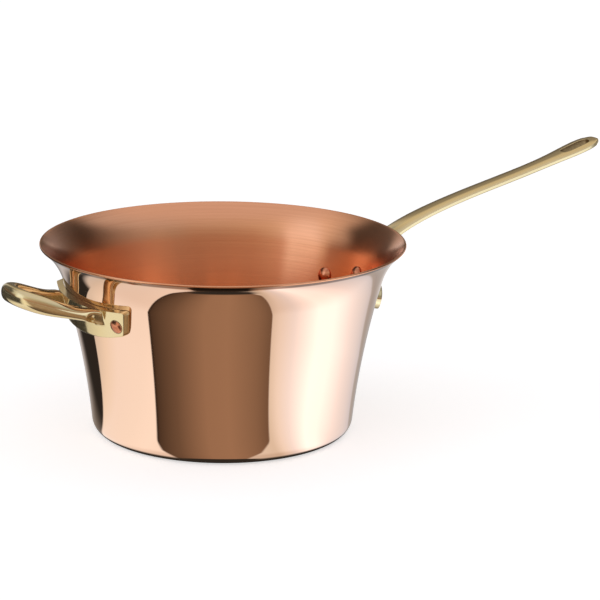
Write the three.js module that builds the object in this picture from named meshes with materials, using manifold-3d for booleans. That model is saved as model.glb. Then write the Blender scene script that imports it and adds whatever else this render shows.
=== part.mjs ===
// A deep, splayed copper pan with a long brass handle, a brass loop handle and copper rivets.
// Millimetres, +Z up. The origin is the middle of the underside, and the long handle lies along +X.

import * as THREE from 'three';
import { mergeVertices } from 'three/addons/utils/BufferGeometryUtils.js';
import Module from 'manifold-3d';

// Pan body, measured on the outside and over the rounded rim edge.
// A lean is the wall's angle from vertical, in degrees.
const rimDiameter = 260;
const panHeight = 137.6;
const wall = 1.6;
const cornerRadius = 10;
const footLean = 6;
const lipStartLean = 16;
const rimLean = 51;
const lipRadius = 48;

// Clearance between pieces that touch
const fitGap = 0.3;

// Rivets: a domed head inside the pan, a shank, and a flush closed end in the brass
const shankDiameter = 6;
const headDiameter = 11.5;
const headHeight = 3;
const tailDiameter = 9.5;
const tailDepth = 1.5;
const tailCrown = 0.4;

// Long handle: the plate on the wall, with a rivet in the middle and one in each wing
const plateThickness = 5;
const middleRivetHeight = 101;
const middlePadRadius = 14;
const wingRivetSpacing = 69;
const wingRivetHeight = 93.4;
const wingPadRadius = 7.2;
const wingBeyondRivet = 3;

// Long handle: the bar, from the plate to the tip. Angles are from horizontal, in degrees.
const barRootHeight = 108;
const barWaistOut = 98;
const barWaistRise = 24.6;
const barWaistAngle = 13.5;
const barTipOut = 186;
const barTipRise = 50.4;
const barTipAngle = 19;
const barRootWidth = 28;
const barNeckWidth = 23;
const barWaistWidth = 16.5;
const barEndWidth = 23;
const barEndRound = 16;
const barEdge = 2.5;
const barCrown = 1.3;
const barBelly = 2.6;

// Long handle: how the bar bends and widens, as shares of its inner or outer stretch,
// and how far round its end the last section lies, in degrees
const barRootHold = 0.18;
const barWaistHold = 0.66;
const barOuterHold = 0.33;
const barNeckAt = 0.3;
const barSwellFrom = 0.4;
const barTipOpening = 86;

// Long handle: the hanging eye, a slot near the tip
const eyeLength = 24;
const eyeWidth = 10;
const eyeTipMargin = 8;

// Loop handle: the curved plate on the wall
const loopPlateThickness = 4.5;
const loopPlateLength = 106;
const loopPlateMiddleRise = 7.5;
const loopPlateMiddleDrop = 16.5;
const loopPlateEndRise = 11.5;
const loopPlateEndDrop = 6.5;
const loopPlateEndTaper = 4.5;
const loopPlateCorner = 5;
const loopPlateBow = 36;
const loopRivetSpacing = 83;
const loopRivetHeight = 99.5;

// Loop handle: the bar, from leg to leg, and the turn about the pan from the long handle, in degrees
const legSpacing = 56;
const legAboveRivets = 3;
const loopReach = 54;
const loopRise = 14.8;
const loopRiseBend = 1.3;
const loopSquareness = 2.6;
const loopBarWidth = 10.5;
const loopBarHeight = 13;
const legRootHeight = 10;
const legSlimHeight = 7.8;
const legSlimOut = 16;
const loopFullOut = 46;
const loopHandleTurn = 182;

// Finishes
const polishedCopper = { color: 0xe6a585, roughness: 0.15 };
const rivetCopper = { color: 0xd98a68, roughness: 0.3 };
const castBrass = { color: 0xd8b66a, roughness: 0.2 };

// Facets of the round forms
const roundSteps = 72;
const rivetSteps = 20;
const domeSteps = 5;
const crownSteps = 2;
const cornerSteps = 4;
const wallSteps = 6;
const lipSteps = 7;
const rimSteps = 4;
const padSteps = 10;
const barInnerSteps = 9;
const barOuterSteps = 7;
const barTipSteps = 7;
const barTopSteps = 6;
const barBellySteps = 4;
const loopSteps = 28;
const loopSides = 12;

const { degToRad: radians, lerp, smoothstep } = THREE.MathUtils;
const wasm = await Module();
wasm.setup();

// Joins a geometry's coincident vertices, drops collapsed faces and turns its faces outwards.
function closedMesh(geometry) {
  const bare = geometry.clone();
  bare.deleteAttribute('normal');
  bare.deleteAttribute('uv');
  const merged = mergeVertices(bare);
  const position = merged.attributes.position.array;
  const corners = merged.index.array;
  const faces = [];
  let volume = 0;
  for (let i = 0; i < corners.length; i += 3) {
    const [a, b, c] = corners.slice(i, i + 3);
    if (a !== b && b !== c && c !== a) {
      const va = new THREE.Vector3().fromArray(position, 3 * a);
      const vb = new THREE.Vector3().fromArray(position, 3 * b);
      const vc = new THREE.Vector3().fromArray(position, 3 * c);
      volume += va.dot(vb.cross(vc));
      faces.push([a, b, c]);
    }
  }
  const outward = volume > 0 ? faces : faces.map(([a, b, c]) => [a, c, b]);
  return { vertProperties: new Float32Array(position), triVerts: new Uint32Array(outward.flat()) };
}

function solid(geometry) {
  return new wasm.Manifold(new wasm.Mesh({ numProp: 3, ...closedMesh(geometry) }));
}

function bufferGeometry({ vertProperties, triVerts }) {
  const geometry = new THREE.BufferGeometry();
  geometry.setAttribute('position', new THREE.BufferAttribute(new Float32Array(vertProperties), 3));
  geometry.setIndex(new THREE.BufferAttribute(new Uint32Array(triVerts), 1));
  geometry.computeVertexNormals();
  return geometry;
}

// Turns an outline of (radius, height) points about the Z axis.
function turned(points, steps) {
  return new THREE.LatheGeometry(points, steps).rotateX(Math.PI / 2);
}

// Extrudes a flat outline between two distances along its own normal.
function extruded(shape, from, to, curveSegments) {
  const options = { depth: to - from, bevelEnabled: false, curveSegments };
  return new THREE.ExtrudeGeometry(shape, options).translate(0, 0, from);
}

// Closes a skin over rings of equally many points, with a flat cap at each end.
function lofted(rings) {
  const count = rings[0].length;
  const index = [];
  for (let i = 0; i + 1 < rings.length; i += 1) {
    for (let j = 0; j < count; j += 1) {
      const a = i * count + j;
      const b = i * count + ((j + 1) % count);
      index.push(a, b, a + count, b, b + count, a + count);
    }
  }
  const last = (rings.length - 1) * count;
  for (let j = 1; j + 1 < count; j += 1) {
    index.push(0, j + 1, j, last, last + j, last + j + 1);
  }
  const geometry = new THREE.BufferGeometry().setFromPoints(rings.flat());
  geometry.setIndex(index);
  return geometry;
}

// Pan profile: a corner arc, a hollow wall arc and a hollow lip arc that meet tangentially
const [foot, lipStart, rim] = [footLean, lipStartLean, rimLean].map(radians);
const rimEdgeCentre = new THREE.Vector2(rimDiameter / 2 - wall / 2, panHeight - wall / 2);
const rimEnd = new THREE.Vector2(Math.cos(rim), -Math.sin(rim)).multiplyScalar(wall / 2).add(rimEdgeCentre);
const cornerRise = cornerRadius * (1 - Math.sin(foot));
const lipRise = lipRadius * (Math.sin(rim) - Math.sin(lipStart));
const wallRise = rimEnd.y - cornerRise - lipRise;
const wallArcRadius = wallRise / (Math.sin(lipStart) - Math.sin(foot));
const lipSpread = lipRadius * (Math.cos(lipStart) - Math.cos(rim));
const wallSpread = wallArcRadius * (Math.cos(foot) - Math.cos(lipStart));
const baseRadius = rimEnd.x - lipSpread - wallSpread - cornerRadius * Math.cos(foot);
const lipArcCentre = rimEnd.clone()
  .add(new THREE.Vector2(Math.cos(rim), -Math.sin(rim)).multiplyScalar(lipRadius));
const wallArcCentre = lipArcCentre.clone()
  .add(new THREE.Vector2(Math.cos(lipStart), -Math.sin(lipStart)).multiplyScalar(wallArcRadius - lipRadius));

// The outside profile moved outwards by a distance, from the flat base to the rim.
function profile(outwards) {
  const points = [];
  for (let i = 0; i <= cornerSteps; i += 1) {
    const angle = lerp(-Math.PI / 2, -foot, i / cornerSteps);
    const radius = cornerRadius + outwards;
    points.push(new THREE.Vector2(
      baseRadius + radius * Math.cos(angle),
      cornerRadius + radius * Math.sin(angle),
    ));
  }
  const hollows = [
    [wallArcCentre, wallArcRadius - outwards, foot, lipStart, wallSteps],
    [lipArcCentre, lipRadius - outwards, lipStart, rim, lipSteps],
  ];
  for (const [centre, radius, from, to, steps] of hollows) {
    for (let i = 1; i <= steps; i += 1) {
      const lean = lerp(from, to, i / steps);
      points.push(new THREE.Vector2(
        centre.x - radius * Math.cos(lean),
        centre.y + radius * Math.sin(lean),
      ));
    }
  }
  return points;
}

// The wall's lean at a height on the outside of the wall arc.
function wallLean(height) {
  return Math.asin((height - wallArcCentre.y) / wallArcRadius);
}

// The wall's outside radius at a height on the wall arc.
function wallRadius(height) {
  return wallArcCentre.x - wallArcRadius * Math.cos(wallLean(height));
}

// Everything inside the wall's outside face and its clearance.
function wallFilling() {
  const skin = profile(fitGap);
  const axis = [new THREE.Vector2(0, panHeight), new THREE.Vector2(0, -fitGap)];
  return solid(turned([axis[1], ...skin, axis[0]], roundSteps));
}

// A band round the wall, of a plate's thickness, with the clearance to the wall.
function wallBand(thickness) {
  const inner = profile(fitGap);
  const outer = profile(fitGap + thickness);
  return solid(turned([...inner, ...outer.reverse(), inner[0]], roundSteps));
}

// Outline round two discs and the straight sides that touch both.
function linkOutline(from, fromRadius, to, toRadius) {
  const along = to.clone().sub(from);
  const heading = along.angle();
  const spread = Math.acos((fromRadius - toRadius) / along.length());
  const shape = new THREE.Shape();
  shape.absarc(from.x, from.y, fromRadius, heading + spread, heading - spread + 2 * Math.PI, false);
  shape.absarc(to.x, to.y, toRadius, heading - spread, heading + spread, false);
  return shape;
}

// Stands a flat outline upright at a height on the wall, looking along +X.
function facingOut(height) {
  const [out, across, up] = [0, 1, 2].map((axis) => new THREE.Vector3().setComponent(axis, 1));
  return new THREE.Matrix4().makeBasis(across, up, out)
    .setPosition(new THREE.Vector3(wallRadius(height), 0, height));
}

// Where a rivet crosses the wall's outside, looking outwards, in the frame of its handle.
function rivetPlace(across, height) {
  const azimuth = Math.asin(across / wallRadius(height));
  const lean = wallLean(height);
  const radial = new THREE.Vector3(Math.cos(azimuth), Math.sin(azimuth), 0);
  const outwards = radial.clone().multiplyScalar(Math.cos(lean)).setZ(-Math.sin(lean));
  const position = radial.multiplyScalar(wallRadius(height)).setZ(height);
  const quaternion = new THREE.Quaternion()
    .setFromUnitVectors(new THREE.Vector3(0, 0, 1), outwards);
  const matrix = new THREE.Matrix4().makeRotationFromQuaternion(quaternion).setPosition(position);
  return { position, quaternion, matrix };
}

// Rivet along +Z, from zero at the wall's outside face. It closes on a plate of some thickness.
const headRadius = headDiameter / 2;
const shankRadius = shankDiameter / 2;
const tailRadius = tailDiameter / 2;
const headSeat = wall + fitGap + headRadius ** 2 / (2 * baseRadius);

function domePoints(baseHeight, radius, rise, steps) {
  const sphere = (radius ** 2 + rise ** 2) / (2 * Math.abs(rise));
  const reach = Math.asin(radius / sphere);
  const points = [];
  for (let i = 0; i <= steps; i += 1) {
    const angle = reach * (1 - i / steps);
    const drop = sphere * (1 - Math.cos(angle));
    const above = Math.sign(rise) * (Math.abs(rise) - drop);
    points.push(new THREE.Vector2(sphere * Math.sin(angle), baseHeight + above));
  }
  points[steps].x = 0;
  return points;
}

function rivetGeometry(thickness) {
  const plateFace = fitGap + thickness;
  const outline = [
    ...domePoints(-headSeat, headRadius, -headHeight, domeSteps).reverse(),
    new THREE.Vector2(shankRadius, -headSeat),
    new THREE.Vector2(shankRadius, plateFace - tailDepth),
    ...domePoints(plateFace, tailRadius, tailCrown, crownSteps),
  ];
  return bufferGeometry(closedMesh(turned(outline, rivetSteps)));
}

// The hole that a rivet needs in the wall and in a plate, with its clearance.
function rivetHole(thickness, place) {
  const plateFace = fitGap + thickness;
  const past = tailDepth;
  const mouth = tailRadius + fitGap + (tailRadius - shankRadius) * past / tailDepth;
  const outline = [
    new THREE.Vector2(0, -wall - past),
    new THREE.Vector2(shankRadius + fitGap, -wall - past),
    new THREE.Vector2(shankRadius + fitGap, plateFace - tailDepth),
    new THREE.Vector2(mouth, plateFace + past),
    new THREE.Vector2(0, plateFace + past),
  ];
  return solid(turned(outline, rivetSteps).applyMatrix4(place.matrix));
}

// Rivets of both handles, each in the frame of its own handle
const handleRivets = {
  handle_rivet_left: rivetPlace(wingRivetSpacing / 2, wingRivetHeight),
  handle_rivet_middle: rivetPlace(0, middleRivetHeight),
  handle_rivet_right: rivetPlace(-wingRivetSpacing / 2, wingRivetHeight),
};
const loopRivets = {
  loop_rivet_left: rivetPlace(loopRivetSpacing / 2, loopRivetHeight),
  loop_rivet_right: rivetPlace(-loopRivetSpacing / 2, loopRivetHeight),
};

function drilled(body, places, thickness) {
  return places.reduce((left, place) => left.subtract(rivetHole(thickness, place)), body);
}

// Pan body with its rivet holes
function panBody() {
  const outside = profile(0);
  const inside = profile(-wall);
  const edge = [];
  for (let i = 1; i < rimSteps; i += 1) {
    const angle = -rim + Math.PI * i / rimSteps;
    const round = new THREE.Vector2(Math.cos(angle), Math.sin(angle)).multiplyScalar(wall / 2);
    edge.push(round.add(rimEdgeCentre));
  }
  const outline = [
    new THREE.Vector2(0, 0),
    ...outside,
    ...edge,
    ...inside.reverse(),
    new THREE.Vector2(0, wall),
  ];
  const turnRound = new THREE.Matrix4().makeRotationZ(radians(loopHandleTurn));
  const loopPlaces = Object.values(loopRivets)
    .map(({ matrix }) => ({ matrix: turnRound.clone().multiply(matrix) }));
  const bowl = solid(turned(outline, roundSteps));
  const half = drilled(bowl, Object.values(handleRivets), plateThickness);
  return drilled(half, loopPlaces, loopPlateThickness);
}

// Long handle: the bar's middle line in the XZ plane, from the plate out to the tip
const rootLean = wallLean(barRootHeight);
const barRoot = new THREE.Vector2(
  wallRadius(barRootHeight) + (fitGap + plateThickness / 2) * Math.cos(rootLean),
  barRootHeight,
);
const barWaist = new THREE.Vector2(rimDiameter / 2 + barWaistOut, panHeight + barWaistRise);
const barTip = new THREE.Vector2(rimDiameter / 2 + barTipOut, panHeight + barTipRise);

function heading(angle, length) {
  return new THREE.Vector2(Math.cos(angle), Math.sin(angle)).multiplyScalar(length);
}

const waistAngle = radians(barWaistAngle);
const innerSpan = barWaist.distanceTo(barRoot);
const outerSpan = barTip.distanceTo(barWaist);
const innerBar = new THREE.CubicBezierCurve(
  barRoot,
  barRoot.clone().add(heading(Math.PI / 2 - rootLean, innerSpan * barRootHold)),
  barWaist.clone().sub(heading(waistAngle, innerSpan * barWaistHold)),
  barWaist,
);
const outerBar = new THREE.CubicBezierCurve(
  barWaist,
  barWaist.clone().add(heading(waistAngle, outerSpan * barOuterHold)),
  barTip.clone().sub(heading(radians(barTipAngle), outerSpan * barOuterHold)),
  barTip,
);

// Stations along the bar: a share of one of its curves, half of the bar's width there, and how much of
// its crown and belly it has. Both fade out round the end.
function barStations() {
  const stations = [];
  for (let i = 0; i <= barInnerSteps; i += 1) {
    const share = i / barInnerSteps;
    const towardsWaist = lerp(barNeckWidth, barWaistWidth, smoothstep(share, 0, 1));
    const width = lerp(barRootWidth, towardsWaist, smoothstep(share, 0, barNeckAt));
    stations.push({ curve: innerBar, share, half: width / 2, fullness: 1 });
  }
  const endStart = 1 - barEndRound / outerSpan;
  const tipOpening = radians(barTipOpening);
  for (let i = 1; i <= barOuterSteps; i += 1) {
    const along = i / barOuterSteps;
    const width = lerp(barWaistWidth, barEndWidth, smoothstep(along, barSwellFrom, 1));
    stations.push({ curve: outerBar, share: endStart * along, half: width / 2, fullness: 1 });
  }
  for (let i = 1; i <= barTipSteps; i += 1) {
    const angle = tipOpening * i / barTipSteps;
    const share = lerp(endStart, 1, Math.sin(angle) / Math.sin(tipOpening));
    const half = barEndWidth / 2 * Math.cos(angle);
    stations.push({ curve: outerBar, share, half, fullness: Math.cos(angle) ** 2 });
  }
  return stations;
}

// The bar's section: a crowned top, upright edges and a rounded belly, as (across, above) points.
function barSection(half, fullness) {
  const points = [];
  const swell = (side) => fullness * (1 - side ** 2);
  for (let i = 0; i <= barTopSteps; i += 1) {
    const side = 1 - 2 * i / barTopSteps;
    points.push([side * half, barCrown * (swell(side) - 1)]);
  }
  for (let i = 0; i <= barBellySteps; i += 1) {
    const side = 2 * i / barBellySteps - 1;
    points.push([side * half, -barCrown - barEdge - barBelly * swell(side)]);
  }
  return points;
}

function barGeometry() {
  const rings = barStations().map(({ curve, share, half, fullness }) => {
    const middle = curve.getPointAt(share);
    const tangent = curve.getTangentAt(share);
    return barSection(half, fullness).map(([across, above]) => new THREE.Vector3(
      middle.x - tangent.y * above,
      across,
      middle.y + tangent.x * above,
    ));
  });
  return lofted(rings);
}

function hangingEye() {
  const angle = radians(barTipAngle);
  const outerEnd = new THREE.Vector2(-eyeTipMargin - eyeWidth / 2, 0);
  const innerEnd = new THREE.Vector2(-eyeTipMargin - eyeLength + eyeWidth / 2, 0);
  const depth = barCrown + barEdge + barBelly;
  const outline = linkOutline(innerEnd, eyeWidth / 2, outerEnd, eyeWidth / 2);
  const slot = extruded(outline, -2 * depth, depth, padSteps);
  const along = new THREE.Vector3(Math.cos(angle), 0, Math.sin(angle));
  const above = new THREE.Vector3(-Math.sin(angle), 0, Math.cos(angle));
  const across = new THREE.Vector3(0, 1, 0);
  const frame = new THREE.Matrix4().makeBasis(along, across, above)
    .setPosition(new THREE.Vector3(barTip.x, 0, barTip.y));
  return solid(slot.applyMatrix4(frame));
}

// The plate's arms from the middle rivet: one to each wing, and one up to the bar's root.
function plateArms() {
  const middle = new THREE.Vector2(0, 0);
  const wings = [1, -1].map((side) => {
    const rivet = new THREE.Vector2(side * wingRivetSpacing / 2, wingRivetHeight - middleRivetHeight);
    const end = rivet.clone().setLength(rivet.length() + wingBeyondRivet);
    return linkOutline(middle, middlePadRadius, end, wingPadRadius);
  });
  const seat = new THREE.Vector2(0, barRootHeight - middleRivetHeight);
  return [...wings, linkOutline(middle, middlePadRadius, seat, middlePadRadius)];
}

function longHandle() {
  const reach = rimDiameter / 2;
  const band = wallBand(plateThickness);
  const arms = plateArms().map((outline) => {
    const block = extruded(outline, -reach, reach, padSteps);
    return band.intersect(solid(block.applyMatrix4(facingOut(middleRivetHeight))));
  });
  const bar = solid(barGeometry()).subtract(hangingEye());
  const casting = arms.reduce((joined, arm) => joined.add(arm), bar).subtract(wallFilling());
  return drilled(casting, Object.values(handleRivets), plateThickness);
}

// Loop handle: the bar's middle line, a squared half oval that rises as it goes out
const legSide = legSpacing / 2;
const plateMiddleRadius = wallRadius(loopRivetHeight) + fitGap + loopPlateThickness / 2;
const legRootOut = Math.sqrt(plateMiddleRadius ** 2 - legSide ** 2);
const legHeight = loopRivetHeight + legAboveRivets;

function loopPoint(turn) {
  const bend = 2 / loopSquareness;
  const out = Math.sin(turn) ** bend;
  const side = Math.sign(Math.cos(turn)) * Math.abs(Math.cos(turn)) ** bend;
  return new THREE.Vector3(
    legRootOut + loopReach * out,
    legSide * side,
    legHeight + loopRise * out ** loopRiseBend,
  );
}

// The bar's height at a distance out from the plate: slim in the legs, full at both ends.
function loopHeight(out) {
  const leg = lerp(legRootHeight, legSlimHeight, smoothstep(out, 0, legSlimOut));
  return lerp(leg, loopBarHeight, smoothstep(out, legSlimOut, loopFullOut));
}

function loopGeometry() {
  const line = Array.from({ length: loopSteps + 1 }, (_, i) => loopPoint(Math.PI * i / loopSteps));
  const rings = line.map((middle, i) => {
    const before = line[Math.max(i - 1, 0)];
    const after = line[Math.min(i + 1, loopSteps)];
    const tangent = after.clone().sub(before).normalize();
    const side = new THREE.Vector3(0, 0, 1).cross(tangent).normalize();
    const up = tangent.clone().cross(side);
    const height = loopHeight(middle.x - legRootOut);
    return Array.from({ length: loopSides }, (_, j) => {
      const angle = 2 * Math.PI * j / loopSides;
      return middle.clone()
        .addScaledVector(side, loopBarWidth / 2 * Math.cos(angle))
        .addScaledVector(up, height / 2 * Math.sin(angle));
    });
  });
  return lofted(rings);
}

// Outline through some corners, each rounded off by a curve that starts a set distance from it.
function roundedOutline(corners) {
  const shape = new THREE.Shape();
  corners.forEach(([corner, cut], i) => {
    const before = corners.at(i - 1)[0].clone().sub(corner).setLength(cut).add(corner);
    const after = corners[(i + 1) % corners.length][0].clone().sub(corner).setLength(cut).add(corner);
    if (i === 0) {
      shape.moveTo(before.x, before.y);
    } else {
      shape.lineTo(before.x, before.y);
    }
    shape.quadraticCurveTo(corner.x, corner.y, after.x, after.y);
  });
  shape.closePath();
  return shape;
}

// The plate's outline, deeper in the middle, with bowed long edges and slightly tapered ends.
function loopPlateOutline() {
  const end = loopPlateLength / 2;
  const footEnd = end - loopPlateEndTaper;
  const corner = (across, above, cut) => [new THREE.Vector2(across, above), cut];
  return roundedOutline([
    corner(-footEnd, -loopPlateEndDrop, loopPlateCorner),
    corner(0, -loopPlateMiddleDrop, loopPlateBow),
    corner(footEnd, -loopPlateEndDrop, loopPlateCorner),
    corner(end, loopPlateEndRise, loopPlateCorner),
    corner(0, loopPlateMiddleRise, loopPlateBow),
    corner(-end, loopPlateEndRise, loopPlateCorner),
  ]);
}

function loopHandle() {
  const reach = rimDiameter / 2;
  const block = extruded(loopPlateOutline(), -reach, reach, cornerSteps);
  const plate = wallBand(loopPlateThickness)
    .intersect(solid(block.applyMatrix4(facingOut(loopRivetHeight))));
  const casting = plate.add(solid(loopGeometry())).subtract(wallFilling());
  return drilled(casting, Object.values(loopRivets), loopPlateThickness);
}

// Assembly
function named(name, geometry, finish) {
  const mesh = new THREE.Mesh(geometry, new THREE.MeshStandardMaterial({ ...finish, metalness: 1 }));
  mesh.name = name;
  return mesh;
}

function rivetMeshes(places, thickness) {
  return Object.entries(places).map(([name, { position, quaternion }]) => {
    const mesh = named(name, rivetGeometry(thickness), rivetCopper);
    mesh.position.copy(position);
    mesh.quaternion.copy(quaternion);
    return mesh;
  });
}

const longHandleGroup = new THREE.Group();
longHandleGroup.add(named('long_handle', bufferGeometry(longHandle().getMesh()), castBrass));
longHandleGroup.add(...rivetMeshes(handleRivets, plateThickness));

const loopHandleGroup = new THREE.Group();
loopHandleGroup.rotation.z = radians(loopHandleTurn);
loopHandleGroup.add(named('loop_handle', bufferGeometry(loopHandle().getMesh()), castBrass));
loopHandleGroup.add(...rivetMeshes(loopRivets, loopPlateThickness));

const pan = new THREE.Group();
pan.add(named('pan_body', bufferGeometry(panBody().getMesh()), polishedCopper));
pan.add(longHandleGroup, loopHandleGroup);

export default pan;
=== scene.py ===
"""Looks of a splayed copper pan with a long brass handle, a brass loop handle and copper rivets."""
from math import acos, asin, atan2, copysign, cos, pi, radians, sin, sqrt

import bmesh
import bpy
from mathutils import Matrix, Vector


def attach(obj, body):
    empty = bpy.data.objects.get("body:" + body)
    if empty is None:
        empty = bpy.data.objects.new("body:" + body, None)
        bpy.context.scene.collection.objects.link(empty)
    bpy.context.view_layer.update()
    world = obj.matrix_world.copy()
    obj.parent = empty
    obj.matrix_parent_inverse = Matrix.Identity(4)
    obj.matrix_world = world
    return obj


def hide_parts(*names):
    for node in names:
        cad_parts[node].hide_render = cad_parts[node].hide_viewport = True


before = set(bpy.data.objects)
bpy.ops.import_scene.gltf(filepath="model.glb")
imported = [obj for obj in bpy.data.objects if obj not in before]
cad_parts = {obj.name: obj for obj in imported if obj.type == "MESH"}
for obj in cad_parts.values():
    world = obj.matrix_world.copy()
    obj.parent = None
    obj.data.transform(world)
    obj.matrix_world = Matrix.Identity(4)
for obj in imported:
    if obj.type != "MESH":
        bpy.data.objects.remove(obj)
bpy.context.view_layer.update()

bl_info = {
    "name": "Splayed copper pan",
    "version": (1, 0, 0),
    "blender": (4, 5, 0),
    "location": "3D View > Sidebar > Copper pan",
    "description": "Models and finishes a splayed copper pan with two brass handles",
    "category": "Object",
}

BODY = "root"


# Properties

def length(name, description, default):
    return bpy.props.FloatProperty(name=name, description=description, default=default, unit="LENGTH")


def angle(name, description, default_degrees):
    default = radians(default_degrees)
    return bpy.props.FloatProperty(name=name, description=description, default=default, subtype="ANGLE")


def share(name, description, default):
    return bpy.props.FloatProperty(name=name, description=description, default=default, subtype="FACTOR")


def strength(name, description, default):
    return bpy.props.FloatProperty(name=name, description=description, default=default, min=0)


def colour(name, description, default):
    return bpy.props.FloatVectorProperty(
        name=name, description=description, default=default, size=3, min=0, subtype="COLOR")


class PanSizes(bpy.types.PropertyGroup):
    """Sizes of the copper body, measured on the outside and over the rounded rim edge"""
    rim_diameter: length("Rim diameter", "Across the rim", 0.2599)
    height: length("Height", "From the underside to the top of the rim", 0.1376)
    wall: length("Wall", "Thickness of the copper", 0.0016)
    corner_radius: length("Corner radius", "Outside radius between base and wall", 0.01)
    lip_radius: length("Lip radius", "Radius of the hollow lip under the rim", 0.048)
    foot_lean: angle("Foot lean", "Wall's angle from upright just above the corner", 6)
    lip_start_lean: angle("Lip start lean", "Wall's angle from upright where the lip starts", 16)
    rim_lean: angle("Rim lean", "Wall's angle from upright at the rim", 51)
    # Painted shade: the darker line under the rim is painted into the copper's colour in place of a dark
    # reflection in the lip.
    painted_rim_shade: length("Rim shade", "Height of the darker line under the rim", 0.0028)
    fit_gap: length("Fit gap", "Clearance between pieces that touch", 0.0003)


class RivetSizes(bpy.types.PropertyGroup):
    """Sizes of the rivets, which have a domed head inside the pan and a closed end in the brass"""
    shank_diameter: length("Shank diameter", "Through the wall and the plate", 0.006)
    head_diameter: length("Head diameter", "Domed head inside the pan", 0.0115)
    head_height: length("Head height", "Rise of the domed head", 0.003)
    tail_diameter: length("Tail diameter", "Closed end in the face of the brass", 0.0095)
    tail_depth: length("Tail depth", "How deep the closed end spreads into the brass", 0.0015)
    tail_stand: length("Tail stand", "How far the closed end stands out of the brass", 0.00018)
    tail_crown: length("Tail crown", "Rise of the closed end", 0.0011)
    seam_width: length("Seam width", "Dark seam between the closed end and the brass", 0.00045)


class LongHandleSizes(bpy.types.PropertyGroup):
    """Sizes of the long handle: a winged plate on the wall, and a bar with a hanging eye"""
    plate_thickness: length("Plate thickness", "Brass on the wall", 0.005)
    middle_rivet_height: length("Middle rivet height", "Above the underside", 0.101)
    middle_pad_radius: length("Middle pad radius", "Brass round the middle rivet", 0.014)
    wing_rivet_spacing: length("Wing rivet spacing", "Across, between the wing rivets", 0.069)
    wing_rivet_height: length("Wing rivet height", "Above the underside", 0.0934)
    wing_pad_radius: length("Wing pad radius", "Round end of a wing", 0.0072)
    wing_beyond_rivet: length("Wing beyond rivet", "From the rivet to the middle of the round end", 0.003)
    root_height: length("Root height", "Where the bar leaves the plate", 0.108)
    waist_out: length("Waist out", "Bar's waist, past the rim", 0.098)
    waist_rise: length("Waist rise", "Bar's waist, above the rim", 0.0246)
    waist_angle: angle("Waist angle", "Bar's slope at its waist", 13.5)
    tip_out: length("Tip out", "Bar's tip, past the rim", 0.1863)
    tip_rise: length("Tip rise", "Bar's tip, above the rim", 0.0504)
    tip_angle: angle("Tip angle", "Bar's slope at its tip", 19)
    root_width: length("Root width", "Bar at the plate", 0.028)
    neck_width: length("Neck width", "Bar just outside the plate", 0.023)
    waist_width: length("Waist width", "Bar at its waist", 0.0165)
    end_width: length("End width", "Bar at its rounded end", 0.023)
    end_round: length("End round", "Length of the rounded end", 0.016)
    tip_round: length("Tip round", "Rounding of the top and bottom edges at the tip", 0.0022)
    edge: length("Edge", "Height of the bar's upright edges", 0.0025)
    crown: length("Crown", "Rise of the bar's top face", 0.0013)
    belly: length("Belly", "Bulge of the bar's underside", 0.0026)
    root_hold: share("Root hold", "How long the bar follows the wall, as a share of its inner stretch", 0.18)
    waist_hold: share("Waist hold", "How long it runs straight into the waist", 0.66)
    outer_hold: share("Outer hold", "How long it keeps its slope in its outer stretch", 0.33)
    neck_at: share("Neck at", "Where the neck's width is reached on the inner stretch", 0.3)
    swell_from: share("Swell from", "Where the outer stretch starts to widen", 0.4)
    eye_length: length("Eye length", "Hanging eye, along the bar", 0.024)
    eye_width: length("Eye width", "Hanging eye, across the bar", 0.01)
    eye_tip_margin: length("Eye tip margin", "Brass between the hanging eye and the tip", 0.008)


class LoopHandleSizes(bpy.types.PropertyGroup):
    """Sizes of the loop handle: a curved plate on the wall, and a loop that rises as it goes out"""
    turn: angle("Turn", "Round the pan from the long handle", 182)
    plate_thickness: length("Plate thickness", "Brass on the wall", 0.0045)
    plate_length: length("Plate length", "Across, along the top edge", 0.106)
    middle_rise: length("Middle rise", "Top edge above the rivets in the middle", 0.0075)
    middle_drop: length("Middle drop", "Bottom edge below the rivets in the middle", 0.0165)
    end_rise: length("End rise", "Top edge above the rivets at the ends", 0.0115)
    end_drop: length("End drop", "Bottom edge below the rivets at the ends", 0.0065)
    end_taper: length("End taper", "How much the ends draw in at the bottom", 0.0045)
    top_corner: length("Top corner", "Rounding of the plate's upper corners", 0.0015)
    bottom_corner: length("Bottom corner", "Rounding of the plate's lower corners", 0.0035)
    bow: length("Bow", "Half of the bowed middle of the long edges", 0.036)
    rivet_spacing: length("Rivet spacing", "Across, between the rivets", 0.083)
    rivet_height: length("Rivet height", "Above the underside", 0.0995)
    leg_spacing: length("Leg spacing", "Across, between the legs", 0.056)
    leg_above_rivets: length("Leg above rivets", "Middle of a leg's root above the rivets", 0.0036)
    reach: length("Reach", "From the plate to the middle of the loop's bar", 0.054)
    rise: length("Rise", "How far the loop rises as it goes out", 0.0148)
    rise_bend: strength("Rise bend", "Power of the rise: one is straight", 1.3)
    squareness: strength("Squareness", "Power of the loop's outline: two is an oval", 2.6)
    bar_width: length("Bar width", "Width of the loop's bar", 0.0105)
    bar_height: length("Bar height", "Height of the loop's bar at its outer end", 0.013)
    leg_root_height: length("Leg root height", "Height of a leg at the plate", 0.0115)
    leg_slim_height: length("Leg slim height", "Height of a leg where it is slimmest", 0.0088)
    leg_slim_out: length("Leg slim out", "Where a leg is slimmest, from the plate", 0.016)
    full_out: length("Full out", "Where the bar has its full height, from the plate", 0.046)


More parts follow.
